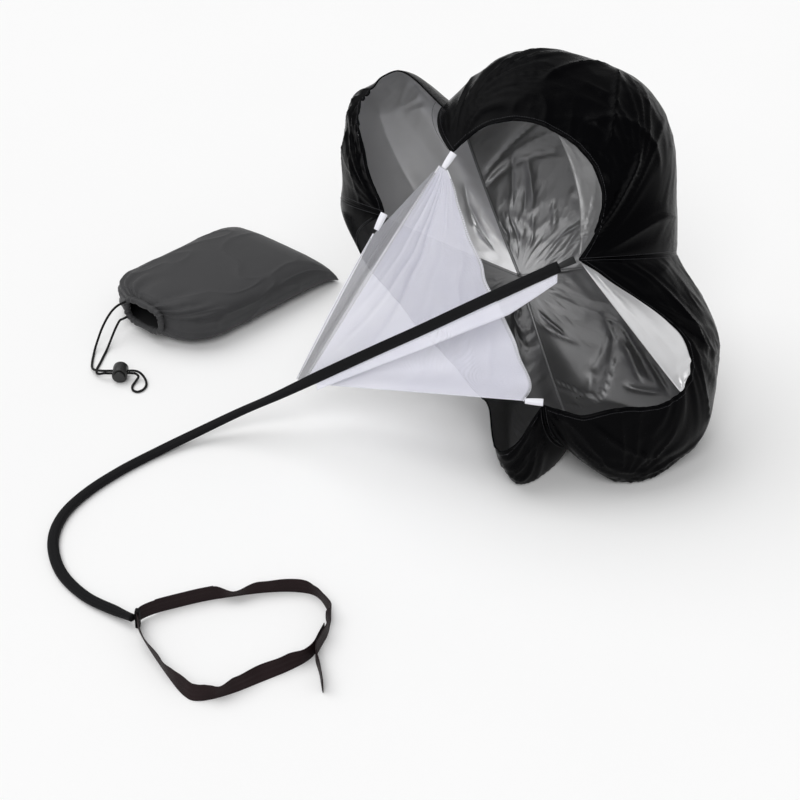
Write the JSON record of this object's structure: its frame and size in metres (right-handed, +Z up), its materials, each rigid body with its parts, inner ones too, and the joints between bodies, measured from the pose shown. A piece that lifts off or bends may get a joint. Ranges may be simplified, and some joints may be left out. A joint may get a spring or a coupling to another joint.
{
  "type": "speed training parachute",
  "caption": "Running resistance parachute with a lobed canopy, mesh panels, a leash to a waist belt, and a drawstring pouch with a cord lock.",
  "frame": {"origin": "on the floor, under the middle of the whole group's bounding box, cords left out", "axes": "+Z up; +Y from the belt towards the pouch; +X from the leash's bend towards the canopy"},
  "size_m": [1.2898, 1.6282, 0.7114],
  "materials": {
    "canopy_nylon": "thin woven nylon, black outside, grey where light comes through",
    "hem_band": "light woven band",
    "white_tape": "white woven tape",
    "white_mesh": "fine white mesh cloth",
    "leash_webbing": "black tubular webbing",
    "belt_webbing": "dark brown-black webbing",
    "hook_patch": "hook tape",
    "pouch_cloth": "dark grey woven polyester",
    "drawcord": "braided cord",
    "lock_plastic": "black moulded plastic",
    "spring_steel": "spring wire"
  },
  "bodies": {
    "canopy": {"canopy_top_lobe": "canopy_nylon", "canopy_left_lobe": "canopy_nylon", "canopy_lower_lobe": "canopy_nylon", "canopy_right_lobe": "canopy_nylon", "hem_top_lobe": "hem_band", "hem_left_lobe": "hem_band", "hem_lower_lobe": "hem_band", "hem_right_lobe": "hem_band", "corner_tab_upper_left": "white_tape", "corner_tab_left": "white_tape", "corner_tab_lower": "white_tape", "corner_tab_right": "white_tape", "mesh_front_panel": "white_mesh", "mesh_side_panel": "white_mesh", "mesh_leash_strip": "white_mesh", "mesh_front_hem": "white_tape", "mesh_ridge_tape": "white_tape", "mesh_side_hem": "white_tape", "leash_webbing": "leash_webbing", "leash_belt_loop": "leash_webbing", "belt_webbing": "belt_webbing", "belt_doubler": "belt_webbing", "belt_hook_patch": "hook_patch"},
    "tail": {"belt_tail": "belt_webbing"},
    "pouch": {"pouch_body": "pouch_cloth", "pouch_channel": "pouch_cloth", "pouch_cord": "drawcord"},
    "cord_lock": {"cord_lock_barrel": "lock_plastic", "cord_lock_spring": "spring_steel"},
    "plunger": {"cord_lock_plunger": "lock_plastic"}
  },
  "joints": [
    {"name": "tail_swing", "type": "hinge", "parent": "canopy", "child": "tail", "pos_m": [-0.15509, -0.68992, 0], "axis": [0, 0, 1], "range_deg": [-20, 25]},
    {"name": "pouch_lift", "type": "slide", "parent": "canopy", "child": "pouch", "axis": [0, 0, 1], "range_m": [0, 0.3]},
    {"name": "lock_slide", "type": "slide", "parent": "pouch", "child": "cord_lock", "axis": [1, 0, 0], "range_m": [-0.006, 0.008]},
    {"name": "plunger_press", "type": "slide", "parent": "cord_lock", "child": "plunger", "axis": [0, 1, 0], "range_m": [0, 0.0045], "stiffness_N_per_m": 600, "springref_m": -0.003, "deforming": ["cord_lock_spring"]}
  ]
}
